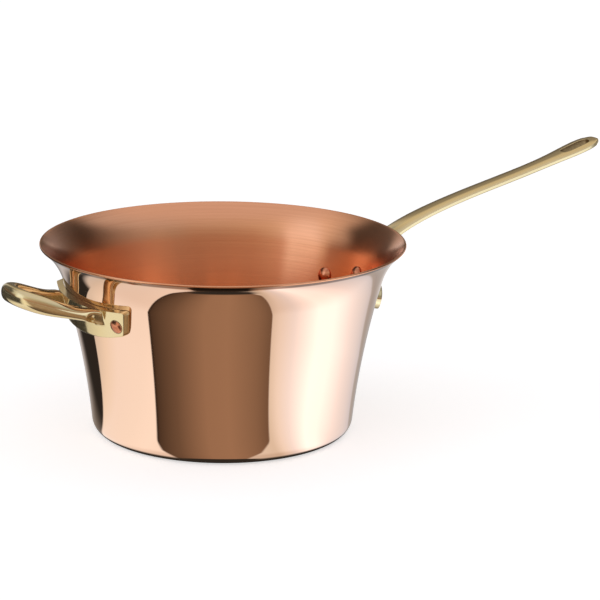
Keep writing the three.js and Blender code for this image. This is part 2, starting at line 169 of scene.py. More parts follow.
class Finishes(bpy.types.PropertyGroup):
    """Colours and polish of the metals"""
    copper: colour("Copper", "Polished copper", (0.95, 0.67, 0.50))
    copper_deep: colour("Copper, deep", "Darker patches of the polished copper", (0.93, 0.62, 0.45))
    brushed: colour("Brushed copper", "Inside of the pan", (0.95, 0.47, 0.26))
    brushed_deep: colour("Brushed copper, deep", "Darker grinding lines", (0.82, 0.37, 0.195))
    brass: colour("Brass", "Cast and polished brass", (0.95, 0.84, 0.57))
    brass_deep: colour("Brass, deep", "Darker patches of the brass", (0.91, 0.78, 0.49))
    cast_skin: colour("Cast skin", "Brass that was left as cast, in the hanging eye", (0.44, 0.31, 0.15))
    cast_skin_deep: colour("Cast skin, deep", "Darker grains of the cast skin", (0.20, 0.13, 0.06))
    rivet: colour("Rivet copper", "Rivets", (0.78, 0.31, 0.165))
    rivet_deep: colour("Rivet copper, deep", "Tarnished patches of the rivets", (0.5, 0.17, 0.085))
    # Colour of the painted shade under the rim, which stands in for a dark reflection in the lip.
    painted_rim_shade: colour("Rim shade", "Polish that stays dark under the rim", (0.3, 0.17, 0.1))
    seam: colour("Seam", "Dark seam round a rivet", (0.12, 0.07, 0.035))
    polish: share("Polish", "Roughness of the pan's outside", 0.02)
    brushing: share("Brushing", "Roughness of the pan's inside", 0.19)
    casting: share("Casting", "Roughness of the brass", 0.07)


class StageSettings(bpy.types.PropertyGroup):
    """Camera, floor and studio light"""
    view_azimuth: angle("View azimuth", "Where the camera stands round the pan", -28.5)
    view_elevation: angle("View elevation", "How high the camera stands", 14.673)
    view_roll: angle("View roll", "Tilt of the camera", 0.726)
    view_distance: length("View distance", "From the camera to its target", 1.889)
    view_target: bpy.props.FloatVectorProperty(
        name="View target", description="Point in the middle of the picture",
        default=(0.04828, -0.02622, 0.09499), subtype="XYZ", unit="LENGTH")
    lens: bpy.props.FloatProperty(name="Lens", description="Focal length in millimetres", default=158.92)
    floor: colour("Floor", "Plain pale floor", (0.78, 0.78, 0.78))
    floor_glow: strength("Floor glow", "Light that the camera sees from the floor itself", 0.61)
    front_cloth: colour("Front cloth", "Brown cloth in front of the pan", (0.36, 0.235, 0.155))


class CopperPanSettings(bpy.types.PropertyGroup):
    """All that a user would change"""
    pan: bpy.props.PointerProperty(type=PanSizes)
    rivets: bpy.props.PointerProperty(type=RivetSizes)
    long_handle: bpy.props.PointerProperty(type=LongHandleSizes)
    loop_handle: bpy.props.PointerProperty(type=LoopHandleSizes)
    finishes: bpy.props.PointerProperty(type=Finishes)
    stage: bpy.props.PointerProperty(type=StageSettings)


# Shapes that several pieces share

def lerp(start, end, amount):
    return start + (end - start) * amount


def smoothstep(value, low, high):
    amount = min(max((value - low) / (high - low), 0), 1)
    return amount * amount * (3 - 2 * amount)


def heading(direction):
    return Vector((cos(direction), sin(direction)))


def corner_inset(side, half, radius):
    """How far a rounded corner draws an edge in, near its end."""
    into_corner = max((side - half) / radius + 1, 0)
    return radius * (1 - sqrt(max(1 - into_corner ** 2, 0)))


class PanProfile:
    """The pan's profile: a corner arc, then hollow arcs of the wall and the lip that meet tangentially."""
    corner_steps = 10
    wall_steps = 16
    lip_steps = 24
    rim_steps = 10

    def __init__(self, sizes):
        self.sizes = sizes
        foot, lip, rim = sizes.foot_lean, sizes.lip_start_lean, sizes.rim_lean
        self.rim_edge = Vector((sizes.rim_diameter - sizes.wall, 2 * sizes.height - sizes.wall)) / 2
        self.lip_centre = self.rim_edge + heading(-rim) * (sizes.wall / 2 + sizes.lip_radius)
        lip_foot = self.lip_centre - heading(-lip) * sizes.lip_radius
        wall_rise = lip_foot.y - sizes.corner_radius * (1 - sin(foot))
        self.wall_radius = wall_rise / (sin(lip) - sin(foot))
        self.wall_centre = lip_foot + heading(-lip) * self.wall_radius
        wall_foot = self.wall_centre.x - self.wall_radius * cos(foot)
        self.base_radius = wall_foot - sizes.corner_radius * cos(foot)

    def side(self, outwards):
        """Points of the outside moved outwards by a distance, from the flat base up to the rim."""
        sizes = self.sizes
        points = []
        corner_centre = Vector((self.base_radius, sizes.corner_radius))
        for step in range(self.corner_steps + 1):
            turn = lerp(-pi / 2, -sizes.foot_lean, step / self.corner_steps)
            points.append(corner_centre + heading(turn) * (sizes.corner_radius + outwards))
        hollows = (
            (self.wall_centre, self.wall_radius, sizes.foot_lean, sizes.lip_start_lean, self.wall_steps),
            (self.lip_centre, sizes.lip_radius, sizes.lip_start_lean, sizes.rim_lean, self.lip_steps),
        )
        for centre, radius, start, end, steps in hollows:
            for step in range(1, steps + 1):
                lean = lerp(start, end, step / steps)
                points.append(centre + heading(pi - lean) * (radius - outwards))
        return points

    def rim(self):
        """Points of the rounded rim edge between the outside and the inside."""
        turns = [pi * step / self.rim_steps - self.sizes.rim_lean for step in range(1, self.rim_steps)]
        return [self.rim_edge + heading(turn) * self.sizes.wall / 2 for turn in turns]

    def lean(self, height):
        """The wall's angle from upright at a height."""
        return asin((height - self.wall_centre.y) / self.wall_radius)

    def radius(self, height):
        """The wall's outside radius at a height."""
        return self.wall_centre.x - self.wall_radius * cos(self.lean(height))

    def on_wall(self, across, height, out):
        """A point at some distance out from the wall, in the frame of a handle that lies along +X."""
        lean = self.lean(height)
        radius = self.radius(height) + out * cos(lean)
        azimuth = asin(across / radius)
        return Vector((radius * cos(azimuth), radius * sin(azimuth), height - out * sin(lean)))

    def rivet_place(self, across, height):
        """Where a rivet crosses the wall's outside, looking outwards."""
        lean = self.lean(height)
        azimuth = asin(across / self.radius(height))
        tilt = Matrix.Rotation(azimuth, 4, "Z") @ Matrix.Rotation(pi / 2 + lean, 4, "Y")
        return Matrix.Translation(self.on_wall(across, height, 0)) @ tilt


def spin_outline(bm, points, steps, material=0):
    """Turn an open outline of (radius, height) points about the Z axis."""
    verts = [bm.verts.new((point[0], 0, point[1])) for point in points]
    edges = [bm.edges.new(pair) for pair in zip(verts, verts[1:])]
    before = set(bm.faces)
    bmesh.ops.spin(bm, geom=verts + edges, axis=(0, 0, 1), angle=2 * pi, steps=steps, use_merge=True)
    for face in bm.faces:
        if face not in before:
            face.material_index = material


def loft(bm, rings):
    """Skin a row of rings, each a list of as many points, and return their vertices."""
    made = []
    for points in rings:
        verts = bmesh.ops.create_circle(bm, segments=len(points), radius=1)["verts"]
        for vert, point in zip(verts, points):
            vert.co = point
        made.append(verts)
    for ring, following in zip(made, made[1:]):
        bmesh.ops.bridge_loops(bm, edges=ring_edges(ring) + ring_edges(following))
    return made


def ring_edges(verts):
    """The edges of a closed ring of vertices."""
    inside = set(verts)
    linked = dict.fromkeys(edge for vert in verts for edge in vert.link_edges)
    return [edge for edge in linked if set(edge.verts) <= inside]


def open_edges(bm, verts):
    """The edges of a hole whose corners are among some vertices."""
    inside = set(verts)
    return [edge for edge in bm.edges if edge.is_boundary and set(edge.verts) <= inside]


def index_block(bm, columns, rows):
    """A block of columns by rows by one cells, whose vertices lie at whole numbers."""
    bmesh.ops.create_grid(bm, x_segments=columns, y_segments=rows, size=0.5)
    bmesh.ops.translate(bm, verts=bm.verts[:], vec=(0.5, 0.5, 0))
    bmesh.ops.scale(bm, verts=bm.verts[:], vec=(columns, rows, 1))
    top = bmesh.ops.extrude_face_region(bm, geom=bm.faces[:])["geom"]
    bmesh.ops.translate(bm, verts=[v for v in top if isinstance(v, bmesh.types.BMVert)], vec=(0, 0, 1))
    bmesh.ops.recalc_face_normals(bm, faces=bm.faces[:])


def rim_edges(bm, columns, rows):
    """The edges on the outlines of an index block's front and back."""
    rim = []
    for edge in bm.edges:
        a, b = (vert.co for vert in edge.verts)
        along_end = a.x == b.x and round(a.x) in (0, columns)
        along_side = a.y == b.y and round(a.y) in (0, rows)
        if a.z == b.z and (along_end or along_side):
            rim.append(edge)
    return rim


def cut_faces(bm, wanted):
    """Delete the faces whose middle passes a test, and return the corners of the hole."""
    faces = [face for face in bm.faces if wanted(face.calc_center_median())]
    corners = dict.fromkeys(vert for face in faces for vert in face.verts)
    bmesh.ops.delete(bm, geom=faces, context="FACES")
    return [vert for vert in corners if vert.is_valid]


def new_casting():
    """An empty mesh whose edges can be creased."""
    bm = bmesh.new()
    bm.edges.layers.float.new("crease_edge")
    return bm


def crease(bm, edges, sharpness):
    """Give edges a sharpness from zero, which is round, to one."""
    layer = bm.edges.layers.float["crease_edge"]
    for edge in edges:
        edge[layer] = sharpness


def finished(name, bm, materials, slot, *nodes):
    """Turn a mesh into a smooth piece that stands for CAD nodes and rides on the pan."""
    bmesh.ops.remove_doubles(bm, verts=bm.verts[:], dist=1e-6)
    bmesh.ops.recalc_face_normals(bm, faces=bm.faces[:])
    for face in bm.faces:
        face.smooth = True
    mesh = bpy.data.meshes.new(name)
    bm.to_mesh(mesh)
    bm.free()
    for material in materials:
        mesh.materials.append(material)
    piece = bpy.data.objects.new(name, mesh)
    bpy.context.collection.objects.link(piece)
    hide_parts(*nodes)
    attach(piece, BODY)
    return piece


def subdivide(piece):
    levels = 3
    modifier = piece.modifiers.new("Smooth casting", "SUBSURF")
    modifier.levels = levels
    modifier.render_levels = levels


# Shader expressions

class Wire:
    """A shader socket that takes part in Python expressions."""

    def __init__(self, tree, socket=None):
        self.tree = tree
        self.socket = socket

    def node(self, kind, settings=None, inputs=None, output=0):
        """Add a node of a type: its settings first, then the values or links of its sockets."""
        node = self.tree.nodes.new(kind)
        for name, value in (settings or {}).items():
            if name == "stops":
                set_stops(node.color_ramp, value)
            else:
                setattr(node, name, value)
        for name, value in (inputs or {}).items():
            if isinstance(value, Wire):
                self.tree.links.new(value.socket, node.inputs[name])
            else:
                node.inputs[name].default_value = value
        return Wire(self.tree, node.outputs[output] if node.outputs else None)

    def math(self, operation, *operands):
        return self.node("ShaderNodeMath", {"operation": operation}, dict(enumerate(operands)))

    def __add__(self, other):
        return self.math("ADD", self, other)

    __radd__ = __add__

    def __sub__(self, other):
        return self.math("SUBTRACT", self, other)

    def __rsub__(self, other):
        return self.math("SUBTRACT", other, self)

    def __mul__(self, other):
        return self.math("MULTIPLY", self, other)

    __rmul__ = __mul__

    def __truediv__(self, other):
        return self.math("DIVIDE", self, other)

    def __rtruediv__(self, other):
        return self.math("DIVIDE", other, self)

    def __pow__(self, other):
        return self.math("POWER", self, other)

    def ramp(self, *stops):
        """A smooth run of colours along this value."""
        return self.node("ShaderNodeValToRGB", {"stops": stops}, {"Fac": self})

    def between(self, low, high):
        """This value moved from the range zero to one into another one."""
        return self * (high - low) + low

    def step(self, low, high):
        """A soft step from zero to one between two values."""
        limits = {"Value": self, "From Min": low, "From Max": high}
        return self.node("ShaderNodeMapRange", {"interpolation_type": "SMOOTHSTEP"}, limits)

    def tinted(self, shade):
        """This colour times another one."""
        colours = {0: 1.0, 6: self, 7: opaque(shade)}
        return self.node("ShaderNodeMix", {"data_type": "RGBA", "blend_type": "MULTIPLY"}, colours, 2)

    def mix(self, first, second):
        """The first colour where this value is zero, the second one where it is one."""
        colours = {0: self, 6: opaque(first), 7: opaque(second)}
        return self.node("ShaderNodeMix", {"data_type": "RGBA"}, colours, 2)


def opaque(shade):
    return shade if isinstance(shade, Wire) else (*shade, 1)


def set_stops(ramp, stops):
    while len(ramp.elements) < len(stops):
        ramp.elements.new(1)
    for element, (position, shade) in zip(ramp.elements, stops):
        element.position = position
        element.color = (*shade, 1) if isinstance(shade, tuple) else (shade, shade, shade, 1)


def new_finish(name):
    """A material with an empty tree, as a wire to start from."""
    material = bpy.data.materials.new(name)
    material.use_nodes = True
    material.node_tree.nodes.clear()
    return material, Wire(material.node_tree)


def object_parts(wire):
    """Object coordinates, and their X, Y and Z."""
    point = wire.node("ShaderNodeTexCoord", output="Object")
    return point, *(wire.node("ShaderNodeSeparateXYZ", None, {"Vector": point}, axis) for axis in "XYZ")


def blotches(wire, point, scale, detail=2):
    """Soft noise from zero to one."""
    return wire.node("ShaderNodeTexNoise", None, {"Vector": point, "Scale": scale, "Detail": detail}, "Fac")


def bump(wire, height, depth):
    return wire.node("ShaderNodeBump", None, {"Height": height, "Distance": depth, "Strength": 1.0})


def metal(wire, base, roughness, normal, **constants):
    inputs = {"Base Color": base, "Roughness": roughness, "Normal": normal, "Metallic": 1.0}
    inputs.update({name.replace("_", " "): value for name, value in constants.items()})
    surface = wire.node("ShaderNodeBsdfPrincipled", None, inputs)
    wire.node("ShaderNodeOutputMaterial", None, {"Surface": surface})


def ring_lines(wire, x, y, z, fineness, waver):
    """Fine noise drawn out into circles round the Z axis."""
    radius = (x * x + y * y) ** 0.5
    along = z + radius
    stretched = {"X": along * fineness, "Y": x / radius * waver, "Z": y / radius * waver}
    point = wire.node("ShaderNodeCombineXYZ", None, stretched)
    return blotches(wire, point, scale=1.0, detail=3)


def polished_copper(finishes, pan):
    unevenness = 0.015
    material, wire = new_finish("polished_copper")
    point, x, y, z = object_parts(wire)
    tarnish = blotches(wire, point, scale=9)
    polish_marks = ring_lines(wire, x, y, z, fineness=2600, waver=4)
    copper = tarnish.mix(finishes.copper, finishes.copper_deep)
    rim_foot = pan.height - pan.wall
    # Painted shade under the rim: a dark line painted into the copper's colour in place of a dark reflection
    # in the lip.
    painted_rim_shade_mask = z.step(rim_foot - pan.painted_rim_shade, rim_foot - pan.painted_rim_shade / 2)
    base = painted_rim_shade_mask.mix(copper, finishes.painted_rim_shade)
    roughness = finishes.polish + tarnish * unevenness + polish_marks * unevenness
    metal(wire, base, roughness, bump(wire, polish_marks, depth=0.0000015))
    return material


def brushed_copper(finishes):
    unevenness = 0.1
    material, wire = new_finish("brushed_copper")
    x, y, z = object_parts(wire)[1:]
    coarse = ring_lines(wire, x, y, z, fineness=950, waver=0.9)
    fine = ring_lines(wire, x, y, z, fineness=2400, waver=3)
    lines = coarse * 0.6 + fine * 0.4
    base = lines.step(0.1, 0.9).mix(finishes.brushed, finishes.brushed_deep)
    roughness = (finishes.brushing - unevenness / 2) + lines * unevenness
    normal = bump(wire, lines, depth=0.00003)
    metal(wire, base, roughness, normal, Anisotropic=0.95, Anisotropic_Rotation=0.25)
    return material


def cast_brass(finishes):
    unevenness = 0.05
    material, wire = new_finish("cast_brass")
    point = object_parts(wire)[0]
    patches = blotches(wire, point, scale=45)
    ripple = blotches(wire, point, scale=70, detail=1)
    base = patches.mix(finishes.brass, finishes.brass_deep)
    roughness = finishes.casting + patches * unevenness
    metal(wire, base, roughness, bump(wire, ripple, depth=0.000008))
    return material


def shared_brass(finishes):
    """The brass of both handles, made once."""
    return bpy.data.materials.get("cast_brass") or cast_brass(finishes)


def grained_metal(name, shades, scale, detail, roughness, depth, contrast=None):
    """Metal whose shade, roughness and relief follow one grain. Roughness and contrast are ranges."""
    material, wire = new_finish(name)
    grain = blotches(wire, object_parts(wire)[0], scale, detail)
    shade = grain.step(*contrast) if contrast else grain
    metal(wire, shade.mix(*shades), grain.between(*roughness), bump(wire, grain, depth))
    return material


def dull_brass(finishes):
    """Brass as it was cast, where no polishing wheel reaches."""
    shades = finishes.cast_skin, finishes.cast_skin_deep
    return grained_metal("dull_brass", shades, scale=900, detail=3, roughness=(0.35, 0.55), depth=0.00006)


def rivet_copper(finishes):
    shades = finishes.rivet_deep, finishes.rivet
    return grained_metal("rivet_copper", shades, scale=420, detail=3, roughness=(0.12, 0.28), depth=0.0001,
                         contrast=(0.35, 0.65))


def rivet_seam(finishes):
    shades = finishes.seam, finishes.brass_deep
    return grained_metal("rivet_seam", shades, scale=700, detail=2, roughness=(0.45, 0.7), depth=0.00005)


# Pan body

def pan_mesh(sizes):
    """The copper body, polished outside, brushed inside and over the rim."""
    spin_steps = 240
    profile = PanProfile(sizes)
    bm = bmesh.new()
    rim = profile.rim()
    spin_outline(bm, [(0, 0), *profile.side(0), rim[0]], spin_steps, 0)
    spin_outline(bm, [(0, sizes.wall), *profile.side(-sizes.wall), *rim[::-1]], spin_steps, 1)
    return bm


class BuildPanBody(bpy.types.Operator):
    """Model the copper body of the pan"""
    bl_idname = "copper_pan.body"
    bl_label = "Pan body"

    def execute(self, context):
        settings = context.scene.copper_pan
        finishes = settings.finishes
        materials = [polished_copper(finishes, settings.pan), brushed_copper(finishes)]
        finished("copper_pan_body", pan_mesh(settings.pan), materials, "copper", "pan_body")
        return {"FINISHED"}


# Rivets

def dome(base_height, radius, rise, steps):
    """Points of a round cap from its edge to the axis."""
    sphere = (radius ** 2 + rise ** 2) / (2 * abs(rise))
    reach = asin(radius / sphere)
    points = []
    for step in range(steps + 1):
        turn = reach * (1 - step / steps)
        above = abs(rise) - sphere * (1 - cos(turn))
        points.append((sphere * sin(turn), base_height + (above if rise > 0 else -above)))
    return points


def rivet_mesh(sizes, profile, plate_thickness, place):
    """A rivet from its domed head inside the pan to its closed end in a plate."""
    spin_steps = 48
    dome_steps = 10
    gap = profile.sizes.fit_gap
    face = gap + plate_thickness
    head_radius = sizes.head_diameter / 2
    shank = sizes.shank_diameter / 2
    tail = sizes.tail_diameter / 2
    seam = tail + sizes.seam_width
    seat = profile.sizes.wall + gap + head_radius ** 2 / (2 * profile.base_radius)
    skirt = sizes.head_height / 6
    stand = face + sizes.tail_stand
    head = dome(-seat - skirt, head_radius, skirt - sizes.head_height, dome_steps)[::-1]
    body = [*head, (head_radius, -seat), (shank, -seat), (shank, face - sizes.tail_depth), (seam, face)]
    ring = [(seam, face), (seam, stand), (tail, stand)]
    cap = dome(stand, tail, sizes.tail_crown, dome_steps)
    bm = bmesh.new()
    spin_outline(bm, body, spin_steps, 0)
    spin_outline(bm, ring, spin_steps, 1)
    spin_outline(bm, cap, spin_steps, 0)
    bmesh.ops.transform(bm, matrix=place, verts=bm.verts[:])
    return bm


class BuildRivets(bpy.types.Operator):
    """Model the five copper rivets of both handles"""
    bl_idname = "copper_pan.rivets"
    bl_label = "Rivets"

    def execute(self, context):
        settings = context.scene.copper_pan
        profile = PanProfile(settings.pan)
        long, loop = settings.long_handle, settings.loop_handle
        wing, foot = long.wing_rivet_spacing / 2, loop.rivet_spacing / 2
        rows = (
            ("handle_rivet_left", wing, long.wing_rivet_height, long, 0),
            ("handle_rivet_middle", 0, long.middle_rivet_height, long, 0),
            ("handle_rivet_right", -wing, long.wing_rivet_height, long, 0),
            ("loop_rivet_left", foot, loop.rivet_height, loop, loop.turn),
            ("loop_rivet_right", -foot, loop.rivet_height, loop, loop.turn),
        )
        materials = [rivet_copper(settings.finishes), rivet_seam(settings.finishes)]
        for node, across, height, handle, turn in rows:
            place = Matrix.Rotation(turn, 4, "Z") @ profile.rivet_place(across, height)
            bm = rivet_mesh(settings.rivets, profile, handle.plate_thickness, place)
            finished(f"copper_{node}", bm, materials, "rivet_copper", node)
        return {"FINISHED"}


# Long handle

class BarLine:
    """The middle line of the bar's top face in the XZ plane, as two cubic curves from root to tip."""

    def __init__(self, sizes, profile):
        pan = profile.sizes
        rim = Vector((pan.rim_diameter / 2, pan.height))
        lean = profile.lean(sizes.root_height)
        out = pan.fit_gap + sizes.plate_thickness / 2
        root = Vector((profile.radius(sizes.root_height) + out * cos(lean), sizes.root_height))
        waist = rim + Vector((sizes.waist_out, sizes.waist_rise))
        tip = rim + Vector((sizes.tip_out, sizes.tip_rise))
        inner_span = (waist - root).length
        outer_span = (tip - waist).length
        into_waist = heading(sizes.waist_angle)
        into_tip = heading(sizes.tip_angle)
        self.outer_span = outer_span
        self.inner = (root, root + heading(pi / 2 - lean) * inner_span * sizes.root_hold,
                      waist - into_waist * inner_span * sizes.waist_hold, waist)
        self.outer = (waist, waist + into_waist * outer_span * sizes.outer_hold,
                      tip - into_tip * outer_span * sizes.outer_hold, tip)

    @staticmethod
    def at(curve, amount):
        """Point and direction at a share of a curve."""
        a, b, c, d = curve
        rest = 1 - amount
        point = a * rest ** 3 + b * 3 * rest ** 2 * amount + c * 3 * rest * amount ** 2 + d * amount ** 3
        slope = (b - a) * rest ** 2 + (c - b) * 2 * rest * amount + (d - c) * amount ** 2
        return point, slope.normalized()


# Points across the bar's section, as shares of its half width. The third and fifth bound the hanging eye.
SECTION_SIDES = (1, 0.76, 0.42, 0, -0.42, -0.76, -1)
BESIDE_EYE = SECTION_SIDES[2]
# The cells that the eye opens, two in the top face and two in the belly, counted round the section, and the
# eye's width at its ends as a share of its full one.
EYE_CELLS = (2, 3, 9, 10)
EYE_END_WIDTH = 0.68
# Where the bar's rings stand: shares of the inner stretch, then distances from the tip. The last five round
# the tip.
INNER_SHARES = (0.1, 0.18, 0.27, 0.37, 0.48, 0.6, 0.73, 0.87, 1)
BEFORE_EYE = (0.072, 0.056, 0.044, 0.036)
IN_EYE = (0.0285, 0.024, 0.018, 0.0125)
PAST_EYE = (0.0055, 0.0034, 0.0018, 0.0008, 0.0003, 0.00008)
TIP_RINGS = 5
# Where the columns of the winged plate stand, in from the tip of a wing.
WING_INSETS = (0, 0.0009, 0.004, 0.009, 0.017, 0.0235)
# Sharpness of the section's four corners, of the plate's rim and of the eye's rim.
CORNER_CREASES = ((0, 0.75), (6, 0.75), (7, 0.6), (13, 0.6))
WING_CREASE = 0.55
EYE_CREASE = 0.5


def bar_section(sizes, half, fullness, inner, fall=0):
    """The bar's section as (across, above) points: crowned top, upright edges, rounded belly."""
    sides = [side * half for side in SECTION_SIDES]
    sides[2], sides[4] = inner, -inner
    swell = [fullness * (1 - (side / half) ** 2) for side in sides]
    top = [(side, sizes.crown * (full - 1) - fall) for side, full in zip(sides, swell)]
    foot = -sizes.crown - sizes.edge + fall / 2
    belly = [(side, foot - sizes.belly * full) for side, full in zip(sides, swell)]
    return top + belly[::-1]


def bar_ring(point, slope, section):
    """A section stood square across the bar's line."""
    return [Vector((point.x - slope.y * above, across, point.y + slope.x * above))
            for across, above in section]


def bar_rings(sizes, line):
    """Rings of the bar from just above the plate to the tip."""
    rings = []
    for amount in INNER_SHARES:
        towards_waist = lerp(sizes.neck_width, sizes.waist_width, smoothstep(amount, 0, 1))
        half = lerp(sizes.root_width, towards_waist, smoothstep(amount, 0, sizes.neck_at)) / 2
        section = bar_section(sizes, half, 1, half * BESIDE_EYE)
        rings.append(bar_ring(*line.at(line.inner, amount), section))
    eye_end = sizes.eye_tip_margin
    eye_start = eye_end + sizes.eye_length
    for from_tip in (*BEFORE_EYE, eye_start, *IN_EYE, eye_end, *PAST_EYE):
        along = 1 - from_tip / line.outer_span
        widening = smoothstep(along, sizes.swell_from, 1 - sizes.end_round / line.outer_span)
        into_end = max(1 - from_tip / sizes.end_round, 0)
        half = lerp(sizes.waist_width, sizes.end_width, widening) / 2 * sqrt(1 - into_end ** 2)
        inner = half * BESIDE_EYE
        if from_tip in IN_EYE:
            inner = sizes.eye_width / 2
        elif from_tip in (eye_start, eye_end):
            inner = sizes.eye_width / 2 * EYE_END_WIDTH
        fall = corner_inset(-from_tip, 0, sizes.tip_round)
        section = bar_section(sizes, half, 1 - into_end ** 2, inner, fall)
        rings.append(bar_ring(*line.at(line.outer, along), section))
    return rings


def wing_end(sizes):
    """Middle of a wing's round end, seen from the middle rivet."""
    wing = Vector((sizes.wing_rivet_spacing / 2, sizes.wing_rivet_height - sizes.middle_rivet_height))
    return wing * (1 + sizes.wing_beyond_rivet / wing.length)


def plate_edges(sizes, across):
    """Bottom and top of the winged plate at a distance across, from its round pads and straight sides."""
    side = abs(across)
    end = wing_end(sizes)
    spread = acos((sizes.middle_pad_radius - sizes.wing_pad_radius) / end.length)
    facing = atan2(end.y, end.x)
    heights = []
    for turn, sign in ((facing - spread, -1), (facing + spread, 1)):
        start = heading(turn) * sizes.middle_pad_radius
        stop = end + heading(turn) * sizes.wing_pad_radius
        if side <= max(start.x, 0):
            height = sign * sqrt(sizes.middle_pad_radius ** 2 - side ** 2)
        elif side <= stop.x:
            height = lerp(start.y, stop.y, (side - start.x) / (stop.x - start.x))
        else:
            height = end.y + sign * sqrt(max(sizes.wing_pad_radius ** 2 - (side - end.x) ** 2, 0))
        heights.append(sizes.middle_rivet_height + height)
    return heights


def winged_plate(bm, sizes, profile):
    """The plate on the wall. Returns the corners of the hole in its top edge, where the bar goes on."""
    tip = wing_end(sizes).x + sizes.wing_pad_radius
    outer = [tip - inset for inset in WING_INSETS]
    inner = [side * sizes.root_width / 2 for side in SECTION_SIDES]
    columns = [*outer, *inner, *(-side for side in reversed(outer))]
    cells, rows = len(columns) - 1, 4
    index_block(bm, cells, rows)
    first = len(outer)
    last = first + len(inner) - 1

    def in_root(middle):
        return first < middle.x < last and middle.y > rows - 0.01

    hole = cut_faces(bm, in_root)
    rim = rim_edges(bm, cells, rows)
    crease(bm, [edge for edge in rim if not set(edge.verts) <= set(hole)], WING_CREASE)
    for vert in bm.verts:
        across = columns[round(vert.co.x)]
        height = lerp(*plate_edges(sizes, across), vert.co.y / rows)
        vert.co = profile.on_wall(across, height, profile.sizes.fit_gap + sizes.plate_thickness * vert.co.z)
    return hole


def open_eye(bm, rings):
    """Cut the hanging eye through the bar."""
    last = -len(PAST_EYE)
    eye_rings = rings[last - len(IN_EYE) - 2:last]
    cells = []
    for ring, following in zip(eye_rings, eye_rings[1:]):
        for first in EYE_CELLS:
            corners = {ring[first], ring[first + 1], following[first], following[first + 1]}
            cells += [face for face in ring[first].link_faces if set(face.verts) == corners]
    corners = {vert for face in cells for vert in face.verts}
    bmesh.ops.delete(bm, geom=cells, context="FACES")
    rim = open_edges(bm, [vert for vert in corners if vert.is_valid])
    for face in bmesh.ops.bridge_loops(bm, edges=rim)["faces"]:
        face.material_index = 1
    crease(bm, rim, EYE_CREASE)


def long_handle_mesh(sizes, profile):
    bm = new_casting()
    hole = winged_plate(bm, sizes, profile)
    rings = loft(bm, bar_rings(sizes, BarLine(sizes, profile)))
    bmesh.ops.bridge_loops(bm, edges=open_edges(bm, hole) + ring_edges(rings[0]))
    bmesh.ops.contextual_create(bm, geom=rings[-1])
    open_eye(bm, rings)
    before_tip = rings[:-TIP_RINGS]
    for corner, sharpness in CORNER_CREASES:
        pairs = [(ring[corner], following[corner]) for ring, following in zip(before_tip, before_tip[1:])]
        crease(bm, [bm.edges.get(pair) for pair in pairs], sharpness)
    return bm


class BuildLongHandle(bpy.types.Operator):
    """Model the long brass handle with its winged plate and hanging eye"""
    bl_idname = "copper_pan.long_handle"
    bl_label = "Long handle"

    def execute(self, context):
        settings = context.scene.copper_pan
        bm = long_handle_mesh(settings.long_handle, PanProfile(settings.pan))
        materials = [shared_brass(settings.finishes), dull_brass(settings.finishes)]
        piece = finished("brass_long_handle", bm, materials, "cast_brass", "long_handle")
        subdivide(piece)
        return {"FINISHED"}


# Loop handle

def loop_point(sizes, root_out, turn):
    """The loop's middle line: a squared half oval that rises as it goes out."""
    bend = 2 / sizes.squareness
    out = max(sin(turn), 0) ** bend
    side = abs(cos(turn)) ** bend * (1 if cos(turn) > 0 else -1)
    height = sizes.rivet_height + sizes.leg_above_rivets + sizes.rise * out ** sizes.rise_bend
    return Vector((root_out + sizes.reach * out, sizes.leg_spacing / 2 * side, height))


def loop_height(sizes, out):
    """The bar's height at a distance out from the plate: slim in the legs, full at both ends."""
    leg = lerp(sizes.leg_root_height, sizes.leg_slim_height, smoothstep(out, 0, sizes.leg_slim_out))
    return lerp(leg, sizes.bar_height, smoothstep(out, sizes.leg_slim_out, sizes.full_out))


# The loop's rings: how many stand along it, the points of each, and how square they are at the plate and from
# where on they are nearly round. The swell makes up for what smoothing draws in.
LOOP_STEPS = 40
RING_SIDES = 12
ROOT_POWER = 0.5
BAR_POWER = 0.9
ROUND_FROM = 0.03
SWELL = 1.02
# Where the columns of the loop's plate stand: in from its end, and outside and inside a leg.
CORNER_STEP = 0.0016
SHOULDER = 0.0085
OUTSIDE_LEG = 0.0105
INSIDE_LEG = 0.0145
# Points across a leg's root, as shares of its half width and half height.
LEG_POINTS = (1, 1 / 3, -1 / 3, -1)
# A row of the plate below a leg, as a share of the height there, and where the loop comes out of the plate.
BELOW_LEG = 0.6
LEG_START = 0.0012
# Sharpness of the plate's long edges, of its ends and of the legs' roots.
LONG_EDGE_CREASE = 0.5
END_CREASE = 0.1
LEG_CREASE = 0.5


def loop_rings(sizes, root_out, first_out):
    """Rings along the loop, from one leg just off the plate to the other."""
    rings = []
    nudge = 0.5 * pi / LOOP_STEPS
    for step in range(LOOP_STEPS + 1):
        turn = pi * step / LOOP_STEPS
        middle = loop_point(sizes, root_out, turn)
        out = middle.x - root_out
        if out < first_out:
            continue
        ahead = loop_point(sizes, root_out, min(turn + nudge, pi))
        behind = loop_point(sizes, root_out, max(turn - nudge, 0))
        tangent = (ahead - behind).normalized()
        side = Vector((0, 0, 1)).cross(tangent).normalized()
        up = tangent.cross(side)
        bend = lerp(ROOT_POWER, BAR_POWER, smoothstep(out, first_out, ROUND_FROM))
        ring = []
        for corner in range(RING_SIDES):
            around = heading(2 * pi * (corner + 0.5) / RING_SIDES)
            across, above = (copysign(abs(part) ** bend, part) for part in around)
            ring.append(middle + SWELL * (side * sizes.bar_width / 2 * across
                                          + up * loop_height(sizes, out) / 2 * above))
        rings.append(ring)
    return rings


def bowed(side, middle, end, half, bow):
    """An edge that runs from its middle height to its end height, with a bowed middle."""
    slope = (end - middle) / half
    if side < bow:
        return middle + slope * (side ** 2 / bow + bow) / 2
    return middle + slope * side


